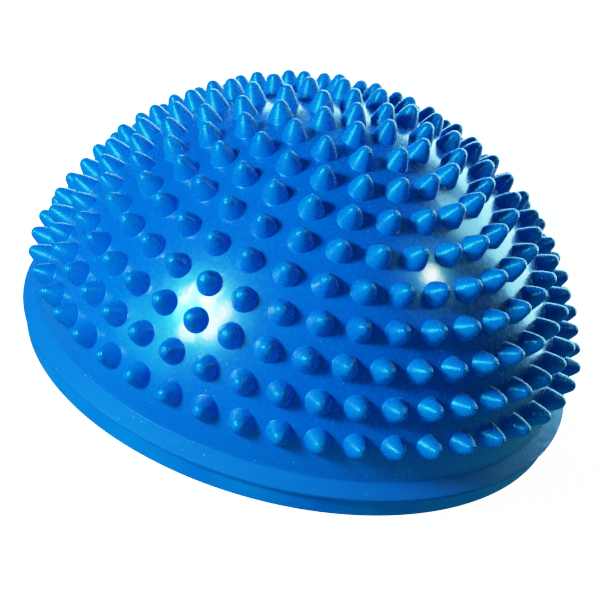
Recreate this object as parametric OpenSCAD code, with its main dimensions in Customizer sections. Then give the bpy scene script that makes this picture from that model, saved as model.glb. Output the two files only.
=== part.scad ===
// Balance dome trainer: an air-filled half ball covered in rings of blunt
// spikes, closed below by a flat base with an inflation valve at its centre.
// Millimetres, +Z up. The origin is the centre of the face it stands on.

/* [Dome] */
// Outer radius of the ball that the dome's skin is cut from
dome_r = 81; // [78:0.5:90]
// Depth of the ball's centre below the standing face
centre_drop = 2; // [0:0.5:4]
// Thickness of the dome's skin
skin_t = 3; // [2:0.5:5]
// How far the upright wall at the dome's foot stands inside the ball's radius
wall_in = 2; // [0.5:0.1:2]

/* [Rim] */
// How far the rim's edge stands out past the ball's radius
rim_out = 1.7; // [1:0.1:3]
// Height of the crease where the dome's wall meets the rim's slope
crease_z = 10.4; // [9.6:0.1:12]
// Height of the rim's edge, at the foot of its slope
edge_z = 7.1; // [6.8:0.1:9]
// Height of the upright lip below the edge
lip_h = 0.7; // [0.4:0.1:0.8]

/* [Spikes] */
// Height of a spike above the skin
spike_h = 6; // [5:0.1:9]
// Radius of a spike's foot
spike_r = 3.7; // [2.5:0.1:4.2]
// Radius of a spike's round tip
tip_r = 2; // [1:0.1:2.4]
// Radius of the arc that rounds a spike's flank
flank_r = 20; // [7:0.5:40]
// Angle from the crown spike to the first ring, and between rings
ring_pitch = 7.35; // [7:0.01:7.4]
// Number of spikes in each ring, from the crown down
ring_counts = [6, 12, 18, 23, 28, 33, 37, 41, 44, 46]; // each 3 to 46
// Turn of each ring from the front, as a share of its own pitch
ring_turns = [0.14, 0.47, 0.63, 0.53, 0.47, 0.34, 0.47, 0.36, 0.94, 0.17]; // each 0 to 1

/* [Base] */
// Height of the base band, up to the underside of the rim
base_h = 6; // [5:0.5:6]
// How far the base band is set in from the rim's edge
band_inset = 1.8; // [1:0.1:3]
// Slope of the base band, as the set-in of its lower edge
band_draft = 0.4; // [0:0.1:1]
// Small chamfer round the standing face
foot_chamfer = 0.6; // [0.2:0.1:1]
// Inner radius of the standing ring
foot_inner_r = 62; // [55:1:70]
// Depth of the hollow under the base
recess_h = 3; // [2:0.5:3.5]
// Radii of the concentric tread ribs in that hollow
tread_radii = [25, 37, 49]; // each 20 to 55
// Width of a tread rib
tread_w = 3; // [2:0.5:5]
// Radii of the grooves in the standing ring
groove_radii = [67, 71, 75]; // each 64 to 77
// Width of a groove
groove_w = 1.4; // [0.8:0.1:2]
// Depth of a groove
groove_h = 0.8; // [0.4:0.1:1.2]

/* [Valve] */
// Radius of the hole in the base that the valve's barrel fills
barrel_r = 6; // [5.8:0.1:8]
// Radius of the collars that hold the barrel above and below the base
collar_r = 9; // [8.6:0.1:12]
// Thickness of the lower collar
low_collar_h = 1.2; // [0.8:0.1:1.2]
// Thickness of the upper collar
top_collar_h = 1.4; // [1:0.1:3]
// Radius of the valve's tower inside the dome
tower_r = 5.4; // [4.6:0.1:7]
// Height of the tower's top above the standing face
tower_top_z = 17; // [15:0.5:20]
// Radius of the well that takes the plug's head
well_r = 5.4; // [5.4:0.1:5.6]
// Radius of the self-sealing core
core_r = 3.4; // [2.6:0.1:3.6]
// Radius of the pin on the plug
pin_r = 1.2; // [0.8:0.1:1.6]
// Clearance round the pin in the core
pin_clearance = 0.05; // [0.02:0.01:0.08]
// Radius of the plug's head
head_r = 5; // [4:0.1:5]
// Length of the plug's pin
pin_l = 9.6; // [7:0.1:10]

/* [Hidden] */
$fn = 96;

ring_n = len(ring_counts);
function ring_name(k) = str("spike_ring_", k < 10 ? "0" : "", k);

// The rim and the band below it
edge_r = dome_r + rim_out;
band_r = edge_r - band_inset;
wall_r = dome_r - wall_in;
lip_z = edge_z - lip_h;
rim_root_r = wall_r - skin_t / 2;
foot_r = band_r - band_draft;

// A spike's outline: a flank arc that runs smoothly into the round tip.
// Heights are above the skin on the spike's own axis.
tip_z = spike_h - tip_r;
foot_gap = sqrt(pow(spike_r, 2) + pow(tip_z, 2));
foot_dir = atan2(-tip_z, spike_r);
flank_reach = flank_r - tip_r;
flank_turn = acos((pow(flank_reach, 2) + pow(foot_gap, 2) - pow(flank_r, 2))
                  / (2 * flank_reach * foot_gap));
flank_c = [0, tip_z] + flank_reach * [cos(foot_dir - flank_turn), sin(foot_dir - flank_turn)];
flank_top_a = atan2(tip_z - flank_c[1], -flank_c[0]);
flank_foot_a = atan2(-flank_c[1], spike_r - flank_c[0]);
flank_steps = 3;
tip_steps = 5;
// The flat foot sits in the skin, just deep enough for its rim to meet the ball.
foot_z = sqrt(pow(dome_r, 2) - pow(spike_r, 2)) - dome_r;
spike_outline = concat(
    [[0, foot_z], [spike_r, foot_z]],
    [for (i = [0 : flank_steps])
        let (a = flank_foot_a + (flank_top_a - flank_foot_a) * i / flank_steps)
        flank_c + flank_r * [cos(a), sin(a)]],
    [for (i = [1 : tip_steps])
        let (a = flank_top_a + (90 - flank_top_a) * i / tip_steps)
        [i == tip_steps ? 0 : tip_r * cos(a), tip_z + tip_r * sin(a)]]
);

// The valve, from the bottom up
low_collar_z = recess_h - low_collar_h;
shelf_h = 0.4;
core_z = recess_h + shelf_h;
tower_wall = 1.5;
core_top_z = tower_top_z - tower_wall;
core_end_t = 2;
vent_r = 1.2;
head_gap = 0.3;
head_top_z = core_z - head_gap;
head_h = 2.4;
head_bevel = 0.5;
head_z = head_top_z - head_h;
tab_h = 0.8;
tab_l = 8;
tab_w = 5;
// Cutters run this far past the faces that they cut through
past = 1;

// A ball trimmed to a straight upright wall. The skin is the space between two.
module trimmed_ball(ball_r, side_r) {
    translate([0, 0, -centre_drop])
        intersection() {
            sphere(r = ball_r);
            cylinder(r = side_r, h = ball_r * 2, center = true);
        }
}

// The skin: a hollow trimmed ball cut off level, with the rim's slope and lip
// round its foot. It is open below, where the base closes it.
module dome_shell() {
    color("dodgerblue") {
        difference() {
            trimmed_ball(dome_r, wall_r);
            trimmed_ball(dome_r - skin_t, wall_r - skin_t);
            translate([0, 0, base_h - dome_r * 2])
                cube(dome_r * 4, center = true);
        }
        rotate_extrude() polygon([
            [rim_root_r, base_h],
            [band_r, base_h],
            [edge_r, lip_z],
            [edge_r, edge_z],
            [wall_r, crease_z],
            [rim_root_r, crease_z]
        ]);
    }
}

module spike() {
    rotate_extrude() polygon(spike_outline);
}

module spike_at(tilt, turn) {
    translate([0, 0, -centre_drop])
        rotate([0, 0, turn])
            rotate([0, tilt, 0])
                translate([0, 0, dome_r]) spike();
}

module spike_crown() {
    color("royalblue") spike_at(0, 0);
}

module spike_ring(k) {
    count = ring_counts[k - 1];
    pitch = 360 / count;
    color("royalblue")
        for (i = [0 : count - 1])
            spike_at(k * ring_pitch, (i + ring_turns[k - 1]) * pitch - 90);
}

module ring_bar(mid_r, width, low_z, high_z) {
    translate([0, 0, low_z])
        difference() {
            cylinder(r = mid_r + width / 2, h = high_z - low_z);
            translate([0, 0, -past])
                cylinder(r = mid_r - width / 2, h = high_z - low_z + 2 * past);
        }
}

// The base: a standing ring with grooves, a thinner floor inside it, tread
// ribs under the floor and a hole for the valve.
module base_pad() {
    color("mediumblue") {
        difference() {
            rotate_extrude() polygon([
                [0, 0],
                [foot_r - foot_chamfer, 0],
                [foot_r, foot_chamfer],
                [band_r, base_h],
                [0, base_h]
            ]);
            translate([0, 0, -past]) cylinder(r = foot_inner_r, h = recess_h + past);
            translate([0, 0, -past]) cylinder(r = barrel_r, h = base_h + 2 * past);
            for (r = groove_radii) ring_bar(r, groove_w, -past, groove_h);
        }
        for (r = tread_radii) ring_bar(r, tread_w, 0, recess_h);
    }
}

// The valve's seat: two collars that grip the base, and a tower inside the
// dome. Its well takes the plug's head and its bore holds the core.
module valve_seat() {
    color("navy")
        difference() {
            union() {
                translate([0, 0, low_collar_z]) cylinder(r = collar_r, h = low_collar_h);
                translate([0, 0, low_collar_z])
                    cylinder(r = barrel_r, h = base_h - low_collar_z + top_collar_h);
                translate([0, 0, base_h]) cylinder(r = collar_r, h = top_collar_h);
                translate([0, 0, base_h]) cylinder(r = tower_r, h = tower_top_z - base_h);
            }
            cylinder(r = well_r, h = core_z);
            translate([0, 0, core_z - past])
                cylinder(r = core_r, h = core_top_z - core_z + past);
            cylinder(r = vent_r, h = tower_top_z + past);
        }
}

// The self-sealing core: soft rubber with a blind bore for the pin.
module valve_core() {
    color("dimgray")
        difference() {
            translate([0, 0, core_z]) cylinder(r = core_r, h = core_top_z - core_z);
            translate([0, 0, core_z - past])
                cylinder(r = pin_r + pin_clearance,
                         h = core_top_z - core_end_t - core_z + past);
        }
}

// The plug: a pin with a round end, a flat head and a tab to pull it by.
module valve_plug() {
    color("royalblue") {
        rotate_extrude() polygon([
            [0, head_z],
            [head_r - head_bevel, head_z],
            [head_r, head_z + head_bevel],
            [head_r, head_top_z],
            [pin_r, head_top_z],
            [pin_r, head_top_z + pin_l - pin_r],
            [0, head_top_z + pin_l]
        ]);
        translate([0, 0, head_z])
            linear_extrude(tab_h)
                union() {
                    translate([0, -tab_w / 2]) square([tab_l, tab_w]);
                    translate([tab_l, 0]) circle(d = tab_w);
                }
    }
}

dome_shell();
spike_crown();
for (k = [1 : ring_n]) spike_ring(k);
base_pad();
valve_seat();
valve_core();
valve_plug();
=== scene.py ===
"""Looks of the balance dome trainer: a glossy blue half ball with rings of blunt spikes.

Lengths are in metres and angles in degrees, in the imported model's frame: +Z up, with the
origin at the centre of the standing face.
"""

import math

import bpy
import numpy as np
from mathutils import Matrix, Vector


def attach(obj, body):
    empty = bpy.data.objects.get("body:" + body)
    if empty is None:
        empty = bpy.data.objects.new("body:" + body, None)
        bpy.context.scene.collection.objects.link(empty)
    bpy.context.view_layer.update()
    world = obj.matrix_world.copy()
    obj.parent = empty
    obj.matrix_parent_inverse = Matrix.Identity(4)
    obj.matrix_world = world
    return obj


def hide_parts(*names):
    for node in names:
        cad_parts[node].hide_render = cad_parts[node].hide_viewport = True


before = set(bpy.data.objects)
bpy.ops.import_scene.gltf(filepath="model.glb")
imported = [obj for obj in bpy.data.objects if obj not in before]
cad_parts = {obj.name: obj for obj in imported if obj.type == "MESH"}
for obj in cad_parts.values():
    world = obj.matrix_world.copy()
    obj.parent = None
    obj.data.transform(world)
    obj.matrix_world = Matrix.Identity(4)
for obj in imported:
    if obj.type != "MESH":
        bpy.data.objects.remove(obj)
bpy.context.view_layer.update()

MM = 0.001

# ---------------------------------------------------------------- sizes, as in the CAD model
DOME_R = 81 * MM
CENTRE_DROP = 2 * MM
SKIN_T = 3 * MM
WALL_IN = 2 * MM
RIM_OUT = 1.7 * MM
CREASE_Z = 10.4 * MM
EDGE_Z = 7.1 * MM
LIP_H = 0.7 * MM
BASE_H = 6 * MM
BAND_INSET = 1.8 * MM
BAND_DRAFT = 0.4 * MM
FOOT_INNER_R = 62 * MM
RECESS_H = 3 * MM
BARREL_R = 6 * MM
TREAD_RADII = [25 * MM, 37 * MM, 49 * MM]
TREAD_W = 3 * MM
GROOVE_RADII = [67 * MM, 71 * MM, 75 * MM]
GROOVE_W = 1.4 * MM
GROOVE_H = 0.8 * MM

SPIKE_H = 6 * MM
SPIKE_R = 3.7 * MM
TIP_R = 2 * MM
FLANK_R = 20 * MM
RING_PITCH = 7.35
RING_COUNTS = [6, 12, 18, 23, 28, 33, 37, 41, 44, 46]
RING_TURNS = [0.14, 0.47, 0.63, 0.53, 0.47, 0.34, 0.47, 0.36, 0.94, 0.17]

WALL_R = DOME_R - WALL_IN
EDGE_R = DOME_R + RIM_OUT
BAND_R = EDGE_R - BAND_INSET
# The rim's edge is kept this far inside the CAD model's, and a spike's tip this far
EDGE_INSIDE = 0.08 * MM
TIP_INSIDE = 0.02 * MM


# ---------------------------------------------------------------- mesh tools
# A smaller radius than this is on the axis
ON_AXIS = 1e-7


def arc(cx, cz, radius, start, end, steps):
    """Points of an arc in the (radius, height) plane, angles in degrees from the outward axis."""
    turns = [math.radians(start + (end - start) * i / steps) for i in range(steps + 1)]
    return [(cx + radius * math.cos(t), cz + radius * math.sin(t)) for t in turns]


def revolved(profile, sides):
    """Vertices and faces of a profile turned about Z. A point on the axis is one vertex."""
    turns = np.arange(sides) * (2 * math.pi / sides)
    ring = np.stack([np.cos(turns), np.sin(turns)], axis=1)
    verts, rows = [], []
    for radius, height in profile:
        first = sum(len(v) for v in verts)
        if radius < ON_AXIS:
            verts.append(np.array([[0.0, 0.0, height]]))
            rows.append([first] * sides)
        else:
            verts.append(np.column_stack([ring * radius, np.full(sides, height)]))
            rows.append(list(range(first, first + sides)))
    faces = []
    for low, high in zip(rows, rows[1:]):
        for i in range(sides):
            j = (i + 1) % sides
            quad = [low[i], low[j], high[j], high[i]]
            face = [v for n, v in enumerate(quad) if v not in quad[:n]]
            if len(face) > 2:
                faces.append(face)
    return np.concatenate(verts), faces


def softened(corners, radius, steps=3):
    """An outline with rounded corners, and points close beside each round to keep flats flat."""
    points = [corners[0]]
    for before, corner, after in zip(corners, corners[1:], corners[2:]):
        b, c, a = (np.array(p) for p in (before, corner, after))
        to_b, to_a = (b - c) / np.linalg.norm(b - c), (a - c) / np.linalg.norm(a - c)
        reach = min(radius, 0.4 * np.linalg.norm(b - c), 0.4 * np.linalg.norm(a - c))
        points.append(tuple(c + to_b * reach * 1.6))
        for i in range(steps + 1):
            t = i / steps
            start, end = c + to_b * reach, c + to_a * reach
            points.append(tuple((1 - t) ** 2 * start + 2 * t * (1 - t) * c + t**2 * end))
        points.append(tuple(c + to_a * reach * 1.6))
    return points + [corners[-1]]


def mesh_piece(name, verts, faces, body, smooth_angle=None):
    """A new object from vertices and faces, smooth shaded, riding on a body."""
    mesh = bpy.data.meshes.new(name)
    mesh.from_pydata([tuple(v) for v in verts], [], faces)
    mesh.update()
    mesh.shade_smooth()
    if smooth_angle is not None:
        mesh.set_sharp_from_angle(angle=math.radians(smooth_angle))
    piece = bpy.data.objects.new(name, mesh)
    bpy.context.scene.collection.objects.link(piece)
    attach(piece, body)
    return piece


# ---------------------------------------------------------------- materials
# Colours of the blue pigment, and of the dust on it. The dome's skin is painted a deeper blue
# than the spikes of the same PVC, as painted shade, and the spikes' paler blue is painted light.
# The pale dust specks also serve as painted glitter. The pigment tints the gloss as well, so that
# highlights run from cyan to white.
BLUE = (0.0002, 0.112, 0.74, 1)
# The skin's deeper blue, which darkens it against the spikes: painted shade
SKIN_SHADE_BLUE = (0.0001, 0.088, 0.65, 1)
PALE_BLUE = (0.0004, 0.17, 0.84, 1)
# Pale specks of dust, which also serve as painted glitter
DUST_AND_GLITTER = (0.25, 0.6, 0.85, 1)
GLOSS_TINT = (0.06, 0.9, 1.0, 1)

# Parts of a noise's range that are stretched to the full change, and cut off beyond it
WIDE = (0.3, 0.7)
NARROW = (0.35, 0.65)

# Distance between the turning rings on a spike, in millimetres along its outline
RIDGE_PITCH_MM = 0.6


class Surface:
    """A node material being made: its Principled shader, and short ways to add nodes."""

    def __init__(self, name):
        self.material = bpy.data.materials.new(name)
        self.material.use_nodes = True
        self.tree = self.material.node_tree
        self.shader = self.tree.nodes["Principled BSDF"]
        # Object-space position: it stays with the piece and runs on over its neighbours
        self.where = self.add("ShaderNodeTexCoord").outputs["Object"]

    def add(self, kind, **values):
        node = self.tree.nodes.new(kind)
        for key, value in values.items():
            if key in node.bl_rna.properties:
                setattr(node, key, value)
            else:
                node.inputs[key.replace("_", " ")].default_value = value
        return node

    def put(self, value, socket):
        """Links another node's output to a socket, or sets a number or colour on it."""
        if isinstance(value, bpy.types.NodeSocket):
            self.tree.links.new(value, socket)
        else:
            socket.default_value = value

    def set(self, name, value):
        self.put(value, self.shader.inputs[name])

    def noise(self, scale, detail=2.0, roughness=0.5, where=None):
        node = self.add("ShaderNodeTexNoise", Scale=scale, Detail=detail, Roughness=roughness)
        self.put(self.where if where is None else where, node.inputs["Vector"])
        return node.outputs["Fac"]

    def remap(self, value, source, target):
        node = self.add("ShaderNodeMapRange", From_Min=source[0], From_Max=source[1],
                        To_Min=target[0], To_Max=target[1])
        self.put(value, node.inputs["Value"])
        return node.outputs["Result"]

    def patchy(self, scale, low, high, detail=2.0, span=WIDE):
        """A value that wanders between two limits over the surface."""
        return self.remap(self.noise(scale, detail), span, (low, high))

    def calc(self, operation, *values):
        node = self.add("ShaderNodeMath", operation=operation)
        for value, socket in zip(values, node.inputs):
            self.put(value, socket)
        return node.outputs["Value"]

    def mix(self, amount, first, second):
        node = self.add("ShaderNodeMix", data_type="RGBA")
        for name, value in (("Factor", amount), ("A", first), ("B", second)):
            self.put(value, node.inputs[name])
        return node.outputs["Result"]

    def bump(self, height, distance, strength, normal=None):
        node = self.add("ShaderNodeBump", Strength=strength, Distance=distance)
        self.put(height, node.inputs["Height"])
        if normal is not None:
            self.put(normal, node.inputs["Normal"])
        return node.outputs["Normal"]

    def specks(self, scale, size, keep):
        """Scattered specks: 1 inside one, 0 elsewhere. keep is the share of cells with one."""
        cells = self.add("ShaderNodeTexVoronoi", Scale=scale)
        self.put(self.where, cells.inputs["Vector"])
        near = self.calc("LESS_THAN", cells.outputs["Distance"], size)
        chosen = self.add("ShaderNodeSeparateColor")
        self.put(cells.outputs["Color"], chosen.inputs["Color"])
        return self.calc("MULTIPLY", near, self.calc("LESS_THAN", chosen.outputs["Red"], keep))

    def position(self):
        parts = self.add("ShaderNodeSeparateXYZ")
        self.put(self.where, parts.inputs["Vector"])
        return parts.outputs

    def on_rim(self, elsewhere):
        """1 on the rim's slope, and another value on the dome from just above it."""
        fade = (CREASE_Z + 1.5 * MM, CREASE_Z - 0.3 * MM)
        return self.remap(self.position()["Z"], fade, (elsewhere, 1))

    def rim_scratches(self):
        """Fine lines that run round the rim's slope and fade out on the dome above it."""
        x, y, z = self.position()
        angle = self.calc("ARCTAN2", y, x)
        squares = self.calc("ADD", self.calc("MULTIPLY", x, x), self.calc("MULTIPLY", y, y))
        down_slope = self.calc("SUBTRACT", self.calc("SQRT", squares), z)
        stretched = self.add("ShaderNodeCombineXYZ")
        self.put(self.calc("MULTIPLY", angle, 14), stretched.inputs["X"])
        self.put(self.calc("MULTIPLY", down_slope, 3500), stretched.inputs["Y"])
        lines = self.noise(1, 3, 0.6, where=stretched.outputs["Vector"])
        return self.calc("MULTIPLY", lines, self.on_rim(0.12))


def pvc(name):
    surface = Surface(name)
    surface.set("Specular Tint", GLOSS_TINT)
    surface.set("IOR", 1.5)
    return surface


def skin_material():
    """Glossy soft PVC: slow colour drift over a deeper blue that is painted shade, orange peel that
    breaks up the gloss, and dust specks that also serve as painted glitter.
    """
    surface = pvc("pvc_skin")
    # The skin is painted darker than the spikes of the same PVC: painted shade.
    drift = surface.patchy(28, 0, 0.6, detail=3, span=NARROW)
    colour = surface.mix(drift, SKIN_SHADE_BLUE, BLUE)
    # Pale dust specks scattered over the skin, which also stand in for painted glitter.
    surface.set("Base Color", surface.mix(surface.specks(800, 0.13, 0.08), colour, DUST_AND_GLITTER))

    # The rim's slope is dull, with polished scratches
    on_rim = surface.on_rim(0)
    scratches = surface.rim_scratches()
    polish = surface.remap(scratches, (0.56, 0.66), (0, 0.4))
    dulling = surface.calc("SUBTRACT", surface.calc("MULTIPLY", on_rim, 0.5), polish)
    surface.set("Roughness", surface.calc("ADD", surface.patchy(900, 0.22, 0.31), dulling))
    surface.set("Coat Weight", surface.remap(on_rim, (0, 1), (0.5, 0)))
    surface.set("Coat Roughness", 0.09)

    peel = surface.noise(1600, roughness=0.6)
    waves = surface.bump(surface.noise(140), 0.3 * MM, 0.22)
    normal = surface.bump(scratches, 0.12 * MM, 0.9, waves)
    surface.set("Normal", surface.bump(peel, 0.05 * MM, 0.7, normal))
    surface.set("Coat Normal", surface.bump(peel, 0.05 * MM, 0.25, normal))
    return surface.material


def spike_material():
    """Satin PVC with the turning rings of the mould, which run round each spike. It is painted
    paler than the skin as painted light, and its rings are painted into the colour as painted light
    and shade.
    """
    surface = pvc("pvc_spike")
    along = surface.add("ShaderNodeAttribute", attribute_name="along_mm").outputs["Fac"]
    wobble = surface.calc("MULTIPLY", surface.noise(500), 0.15)
    turns = surface.calc("MULTIPLY", surface.calc("ADD", along, wobble),
                         2 * math.pi / RIDGE_PITCH_MM)
    ridges = surface.calc("SINE", turns)
    # The spikes lean towards the pale blue, painted lighter than the skin's same PVC: painted
    # light.
    drift = surface.patchy(90, 0.1, 0.8, span=NARROW)
    # The turning rings are also painted into the colour, paler on each ring and darker between:
    # painted light and shade of the rings.
    paleness_with_ring_shade = surface.calc("ADD", drift, surface.calc("MULTIPLY", ridges, 0.12))
    surface.set("Base Color", surface.mix(paleness_with_ring_shade, BLUE, PALE_BLUE))
    surface.set("Roughness", surface.patchy(1100, 0.20, 0.34))
    grain = surface.bump(surface.noise(3000, roughness=0.7), 0.04 * MM, 0.3)
    surface.set("Normal", surface.bump(ridges, 0.03 * MM, 0.9, grain))
    return surface.material


def base_material():
    """Satin PVC of the base moulding."""
    surface = pvc("pvc_base")
    drift = surface.patchy(40, 0, 1, detail=3, span=NARROW)
    surface.set("Base Color", surface.mix(drift, BLUE, PALE_BLUE))
    surface.set("Roughness", surface.patchy(600, 0.28, 0.48, detail=3))
    surface.set("Normal", surface.bump(surface.noise(900, 3), 0.1 * MM, 0.3))
    return surface.material


def plain_material(name, dark, light, smoothest, roughest):
    """Matt plastic or rubber that drifts between two colours."""
    surface = Surface(name)
    drift = surface.patchy(200, 0, 1, detail=3, span=NARROW)
    surface.set("Base Color", surface.mix(drift, dark, light))
    surface.set("Roughness", surface.patchy(900, smoothest, roughest))
    surface.set("Normal", surface.bump(surface.noise(1500), 0.05 * MM, 0.3))
    return surface.material


skin_pvc = skin_material()
spike_pvc = spike_material()
base_pvc = base_material()
# Materials of the CAD pieces that are kept as they are
VALVE_MATERIALS = {
    "valve_seat": plain_material(
        "valve_plastic", (0.0006, 0.10, 0.42, 1), (0.001, 0.13, 0.5, 1), 0.35, 0.5),
    "valve_core": plain_material(
        "core_rubber", (0.012, 0.013, 0.015, 1), (0.03, 0.032, 0.036, 1), 0.6, 0.8),
    "valve_plug": plain_material(
        "plug_plastic", (0.001, 0.16, 0.60, 1), (0.004, 0.2, 0.7, 1), 0.3, 0.42),
}


# ---------------------------------------------------------------- dome skin
DOME_SIDES = 360
# The ball's surface ends at this height, and a curve leads from it to the upright wall
WALL_TOP_Z = 19.5 * MM
# Rounding of the rim's edges
RIM_SOFT = 0.16 * MM
# The rim's slope bulges by a quarter of this at its middle
SLOPE_BULGE = 0.2 * MM
# Gap between the rim's underside and the top of the base
SEAM = 0.02 * MM


def ball_angle(height, radius=DOME_R):
    """Angle up the ball of a height above the standing face."""
    return math.degrees(math.asin((height + CENTRE_DROP) / radius))


def wall_curve(steps):
    """The dome's foot: leaves the ball along its tangent and comes down upright to the crease."""
    ball_z = WALL_TOP_Z + CENTRE_DROP
    start_r = math.sqrt(DOME_R**2 - ball_z**2)
    drop = WALL_TOP_Z - CREASE_Z
    lean = ball_z / start_r * drop
    points = []
    for i in range(1, steps + 1):
        t = i / steps
        radius = (start_r * (2 * t**3 - 3 * t**2 + 1) + lean * (t**3 - 2 * t**2 + t)
                  + WALL_R * (3 * t**2 - 2 * t**3))
        points.append((min(radius, WALL_R), WALL_TOP_Z - drop * t))
    return points


def rim_profile(wall_end):
    """The rim's outline: in from the wall at the crease, down the slope and back underneath."""
    edge_r = EDGE_R - EDGE_INSIDE
    fall = (CREASE_Z - EDGE_Z) / (EDGE_R - WALL_R)
    slope = []
    for t in (0.25, 0.4, 0.55, 0.7, 0.85):
        out = t * (edge_r - WALL_R)
        slope.append((WALL_R + out, CREASE_Z - out * fall + SLOPE_BULGE * t * (1 - t)))
    corners = [
        wall_end,
        (WALL_R - 0.02 * MM, CREASE_Z + 2.0 * MM),
        (WALL_R - 0.05 * MM, CREASE_Z + 0.1 * MM),
        (WALL_R + 0.14 * MM, CREASE_Z - 0.22 * MM),
        (WALL_R + 0.34 * MM, CREASE_Z - 0.34 * MM * fall + 0.03 * MM),
        *slope,
        (edge_r, EDGE_Z),
        (edge_r - 0.05 * MM, EDGE_Z - LIP_H),
        (BAND_R - 0.4 * MM, BASE_H + SEAM),
        (WALL_R - SKIN_T, BASE_H + SEAM),
    ]
    return softened(corners, RIM_SOFT)


def dome_profile():
    """The skin's outline from the crown down the outside, under the rim and back up inside."""
    outside = arc(0, -CENTRE_DROP, DOME_R, 90, ball_angle(WALL_TOP_Z), 140)
    inner_r = DOME_R - SKIN_T
    inner_top = math.sqrt(inner_r**2 - (WALL_R - SKIN_T) ** 2) - CENTRE_DROP
    inside = arc(0, -CENTRE_DROP, inner_r, ball_angle(inner_top, inner_r), 90, 40)
    # The wall's last points give way to the rounded crease, and the rim's first ones to the wall
    profile = outside + wall_curve(16)[:-3] + rim_profile(outside[-1])[4:] + inside
    profile[0] = (0.0, profile[0][1])
    profile[-1] = (0.0, profile[-1][1])
    return profile


def dome_skin():
    verts, faces = revolved(dome_profile(), DOME_SIDES)
    piece = mesh_piece("dome_skin", verts, faces, "pod", 35)
    piece.data.materials.append(skin_pvc)
    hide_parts("dome_shell")


# ---------------------------------------------------------------- spikes
SPIKE_SIDES = 32
# The small fillet between a spike and the skin, and how far its outer edge dips into the skin
FILLET_R = 0.12 * MM
FILLET_H = 0.12 * MM
FILLET_DIP = 0.03 * MM
# Depth of a spike's closed foot inside the skin
ROOT_DEPTH = 0.4 * MM


def ball_drop(radius):
    """How far the ball's surface lies below its pole at a distance from the pole's axis."""
    return math.sqrt(DOME_R**2 - radius**2) - DOME_R


def spike_outline():
    """A spike's outline from its tip down: round tip, bowed flank, then a fillet to the skin."""
    tip_z = SPIKE_H - TIP_INSIDE - TIP_R
    reach = FLANK_R - TIP_R
    gap = math.hypot(SPIKE_R, tip_z)
    foot_dir = math.atan2(-tip_z, SPIKE_R)
    turn = math.acos((reach**2 + gap**2 - FLANK_R**2) / (2 * reach * gap))
    cx = reach * math.cos(foot_dir - turn)
    cz = tip_z + reach * math.sin(foot_dir - turn)
    top_a = math.degrees(math.atan2(tip_z - cz, -cx))
    foot_a = math.degrees(math.atan2(-cz, SPIKE_R - cx))
    points = arc(0, tip_z, TIP_R, 90, top_a, 8)[:-1]
    points += arc(cx, cz, FLANK_R, top_a, foot_a, 18)
    points[0] = (0.0, points[0][1])
    points = [p for p in points if p[1] > FILLET_H]
    last_r = points[-1][0]
    skirt = SPIKE_R + FILLET_R
    for t in (0.25, 0.5, 0.75, 1.0):
        radius = last_r + (skirt - last_r) * t**1.6
        points.append((radius, FILLET_H * (1 - t) ** 1.5 - FILLET_DIP * t + ball_drop(radius)))
    root_z = ball_drop(skirt) - ROOT_DEPTH
    return points + [(skirt, root_z), (0.0, root_z)]


def lengths_along(outline):
    """Distance of each point from the outline's start, in millimetres along it."""
    lengths = [0.0]
    for (r0, z0), (r1, z1) in zip(outline, outline[1:]):
        lengths.append(lengths[-1] + math.hypot(r1 - r0, z1 - z0) / MM)
    return lengths


outline = spike_outline()
spike_verts, spike_faces = revolved(outline, SPIKE_SIDES)
spike_along = np.concatenate([
    np.full(1 if radius < ON_AXIS else SPIKE_SIDES, length)
    for (radius, _), length in zip(outline, lengths_along(outline))
])


def spike_matrix(tilt, turn):
    """Stands a spike on the ball: tilt is from the crown and turn is about Z."""
    return (Matrix.Translation((0, 0, -CENTRE_DROP))
            @ Matrix.Rotation(math.radians(turn), 4, "Z")
            @ Matrix.Rotation(math.radians(tilt), 4, "Y")
            @ Matrix.Translation((0, 0, DOME_R)))


def spikes(name, places):
    """One piece with a spike at each place, standing for the CAD node of that name."""
    verts, faces = [], []
    for n, (tilt, turn) in enumerate(places):
        matrix = np.array(spike_matrix(tilt, turn))
        verts.append(spike_verts @ matrix[:3, :3].T + matrix[:3, 3])
        first = n * len(spike_verts)
        faces += [[first + v for v in face] for face in spike_faces]
    piece = mesh_piece(name + "_skin", np.concatenate(verts), faces, "pod")
    along = piece.data.attributes.new("along_mm", "FLOAT", "POINT")
    along.data.foreach_set("value", np.tile(spike_along, len(places)))
    piece.data.materials.append(spike_pvc)
    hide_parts(name)


def ring_places(k):
    """Tilt and turn of each spike in ring k, which is counted from the crown."""
    count = RING_COUNTS[k - 1]
    return [(k * RING_PITCH, (i + RING_TURNS[k - 1]) * 360 / count - 90) for i in range(count)]


# ---------------------------------------------------------------- base
BASE_SIDES = 256
# Rounding of the foot's outer edge, and bevels of the grooves, ribs and standing ring
FOOT_SOFT = 0.5 * MM
GROOVE_BEVEL = 0.15 * MM
RIB_BEVEL = 0.4 * MM


def groove(middle):
    """A groove in the standing face, from its outer side to its inner side."""
    outer, inner, edge = middle + GROOVE_W / 2, middle - GROOVE_W / 2, GROOVE_BEVEL
    return [(outer + edge, 0), (outer, edge), (outer, GROOVE_H - edge), (outer - edge, GROOVE_H),
            (inner + edge, GROOVE_H), (inner, GROOVE_H - edge), (inner, edge), (inner - edge, 0)]


def rib(middle):
    """A tread rib in the recess, from its outer side to its inner side."""
    outer, inner, edge = middle + TREAD_W / 2, middle - TREAD_W / 2, RIB_BEVEL
    return [(outer, RECESS_H), (outer, edge), (outer - edge, 0),
            (inner + edge, 0), (inner, edge), (inner, RECESS_H)]


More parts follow.
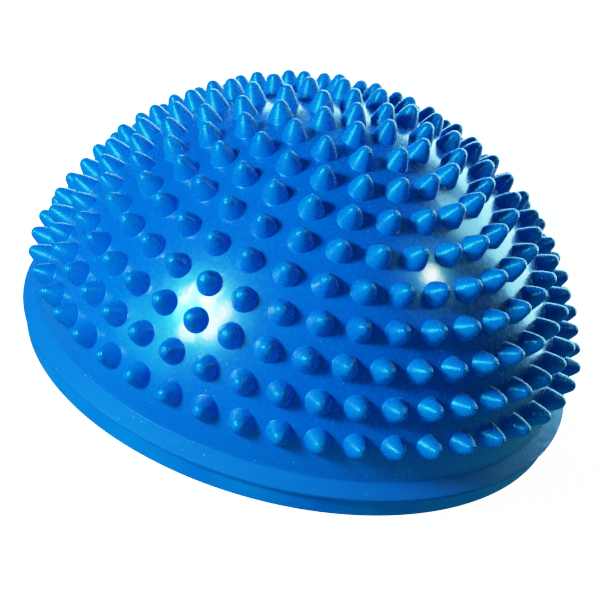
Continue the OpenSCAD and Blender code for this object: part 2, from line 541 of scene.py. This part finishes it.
def base_profile():
    """The base's outline: from the valve hole over the top, down the band and back underneath."""
    points = [(BARREL_R, RECESS_H), (BARREL_R, BASE_H), (BAND_R, BASE_H)]
    points += arc(BAND_R - BAND_DRAFT - FOOT_SOFT, FOOT_SOFT, FOOT_SOFT, 0, -90, 6)
    for middle in reversed(GROOVE_RADII):
        points += groove(middle)
    points += [(FOOT_INNER_R + RIB_BEVEL, 0), (FOOT_INNER_R, RIB_BEVEL), (FOOT_INNER_R, RECESS_H)]
    for middle in reversed(TREAD_RADII):
        points += rib(middle)
    return points + points[:1]


def base():
    verts, faces = revolved(base_profile(), BASE_SIDES)
    piece = mesh_piece("base_skin", verts, faces, "pod", 30)
    piece.data.materials.append(base_pvc)
    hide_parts("base_pad")


# ---------------------------------------------------------------- studio
CAM_AIM = Vector((-1.8 * MM, 0, 18.6 * MM))
CAM_ELEVATION = 29.05
CAM_DISTANCE = 0.668
CAM_ROLL = 14.73
CAM_LENS = 135

FLOOR_HALF = 4
# The floor lies this far below the standing face, so that the two don't mix
FLOOR_DROP = 0.02 * MM

LAMP_AIM = Vector((0, 0, 40 * MM))
LAMP_DISTANCE = 0.9
CYAN = (0.05, 1, 0.95)
SKY_BLUE = (0.25, 0.7, 1)
NEAR_WHITE = (1, 1, 0.95)
# The bright bulbs in the key lamp, each as azimuth, elevation and size
BULBS = ((-38, 34, 0.05), (-49, 35, 0.07), (-44, 28, 0.06),
         (-57, 29, 0.05), (-38, 26, 0.05), (-47, 22, 0.07))


def direction(azimuth, elevation):
    """Unit vector towards a place round the object. Azimuth 0 is the front and 90 the right."""
    a, e = math.radians(azimuth), math.radians(elevation)
    return Vector((math.sin(a) * math.cos(e), -math.cos(a) * math.cos(e), math.sin(e)))


def camera():
    data = bpy.data.cameras.new("camera")
    data.lens = CAM_LENS
    data.clip_start, data.clip_end = 0.05, 20
    cam = bpy.data.objects.new("camera", data)
    back = direction(0, CAM_ELEVATION)
    cam.location = CAM_AIM + back * CAM_DISTANCE
    roll = Matrix.Rotation(math.radians(CAM_ROLL), 3, "Z")
    cam.rotation_euler = ((-back).to_track_quat("-Z", "Y").to_matrix() @ roll).to_euler()
    bpy.context.scene.collection.objects.link(cam)
    bpy.context.scene.camera = cam


def softbox(name, azimuth, elevation, width, height, radiance, colour, diffuse=True, glossy=True):
    """A rectangular lamp that faces the pod. Its size is in metres.

    diffuse and glossy say whether it lights the pigment and whether it shows in the gloss.
    """
    data = bpy.data.lights.new(name, "AREA")
    data.shape = "RECTANGLE"
    data.size, data.size_y = width, height
    data.energy = radiance * math.pi * width * height
    data.color = colour
    lamp = bpy.data.objects.new(name, data)
    back = direction(azimuth, elevation)
    lamp.location = LAMP_AIM + back * LAMP_DISTANCE
    lamp.rotation_euler = back.to_track_quat("Z", "Y").to_euler()
    lamp.visible_camera = False
    lamp.visible_diffuse = diffuse
    lamp.visible_glossy = glossy
    bpy.context.scene.collection.objects.link(lamp)


def floor():
    """A plain pale floor that glows, so that shadows hardly show on it. It lights nothing."""
    mesh = bpy.data.meshes.new("floor")
    corners = [(x * FLOOR_HALF, y * FLOOR_HALF, 0) for x, y in ((-1, -1), (1, -1), (1, 1), (-1, 1))]
    mesh.from_pydata(corners, [], [(0, 1, 2, 3)])
    plane = bpy.data.objects.new("floor", mesh)
    plane.location.z = -FLOOR_DROP
    plane.visible_glossy = False
    plane.visible_diffuse = False
    plane.visible_shadow = False
    bpy.context.scene.collection.objects.link(plane)
    surface = Surface("pale_floor")
    surface.set("Base Color", (0.6, 0.6, 0.6, 1))
    surface.set("Roughness", 0.9)
    surface.set("Specular IOR Level", 0.1)
    surface.set("Emission Color", (1, 1, 1, 1))
    surface.set("Emission Strength", 2.4)
    mesh.materials.append(surface.material)


def sky():
    """Faint light from all round, stronger from below, where a real floor would send it back."""
    world = bpy.data.worlds.new("world")
    world.use_nodes = True
    nodes, links = world.node_tree.nodes, world.node_tree.links
    parts = nodes.new("ShaderNodeSeparateXYZ")
    links.new(nodes.new("ShaderNodeTexCoord").outputs["Generated"], parts.inputs["Vector"])
    glow = nodes.new("ShaderNodeMapRange")
    for name, value in (("From Min", -0.1), ("From Max", 0.1), ("To Min", 0.18), ("To Max", 0.02)):
        glow.inputs[name].default_value = value
    links.new(parts.outputs["Z"], glow.inputs["Value"])
    links.new(glow.outputs["Result"], nodes["Background"].inputs["Strength"])
    nodes["Background"].inputs["Color"].default_value = (0.1, 1, 0.85, 1)
    bpy.context.scene.world = world


def lamps():
    softbox("key", -50, 28, 0.22, 0.18, 56, CYAN)
    softbox("low_left", -60, 8, 0.5, 0.2, 2.8, CYAN)
    softbox("low_front", -5, 4, 0.5, 0.2, 1.5, CYAN, glossy=False)
    for azimuth, elevation, size in BULBS:
        name = f"lamp_{-azimuth}_{elevation}"
        softbox(name, azimuth, elevation, size, size, 140, NEAR_WHITE, diffuse=False)
    softbox("backdrop", 160, 4, 1.4, 0.62, 9, SKY_BLUE, diffuse=False)
    softbox("backdrop_high", 134, 31, 0.24, 0.36, 7, SKY_BLUE, diffuse=False)
    softbox("back_fill", 178, 30, 0.6, 0.4, 5, (0.1, 1, 0.9), glossy=False)
    softbox("glint", 91, 48, 0.06, 0.045, 160, (0.8, 1, 0.95), diffuse=False)


def tone(view):
    """A contrasty print: deep shadows, and a soft shoulder up to white."""
    white, exposure, steps = 3.0, 2.0, 12
    view.view_transform = "Standard"
    view.use_curve_mapping = True
    mapping = view.curve_mapping
    mapping.white_level = (white, white, white)
    combined = mapping.curves[3]
    for i in range(1, steps):
        level = (i / steps) ** 3
        combined.points.new(level, 1 - math.exp(-exposure * level * white))
    mapping.update()


camera()
floor()
sky()
lamps()
tone(bpy.context.scene.view_settings)

dome_skin()
spikes("spike_crown", [(0, 0)])
for k in range(1, len(RING_COUNTS) + 1):
    spikes(f"spike_ring_{k:02d}", ring_places(k))
base()
for node, material in VALVE_MATERIALS.items():
    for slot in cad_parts[node].material_slots:
        slot.material = material
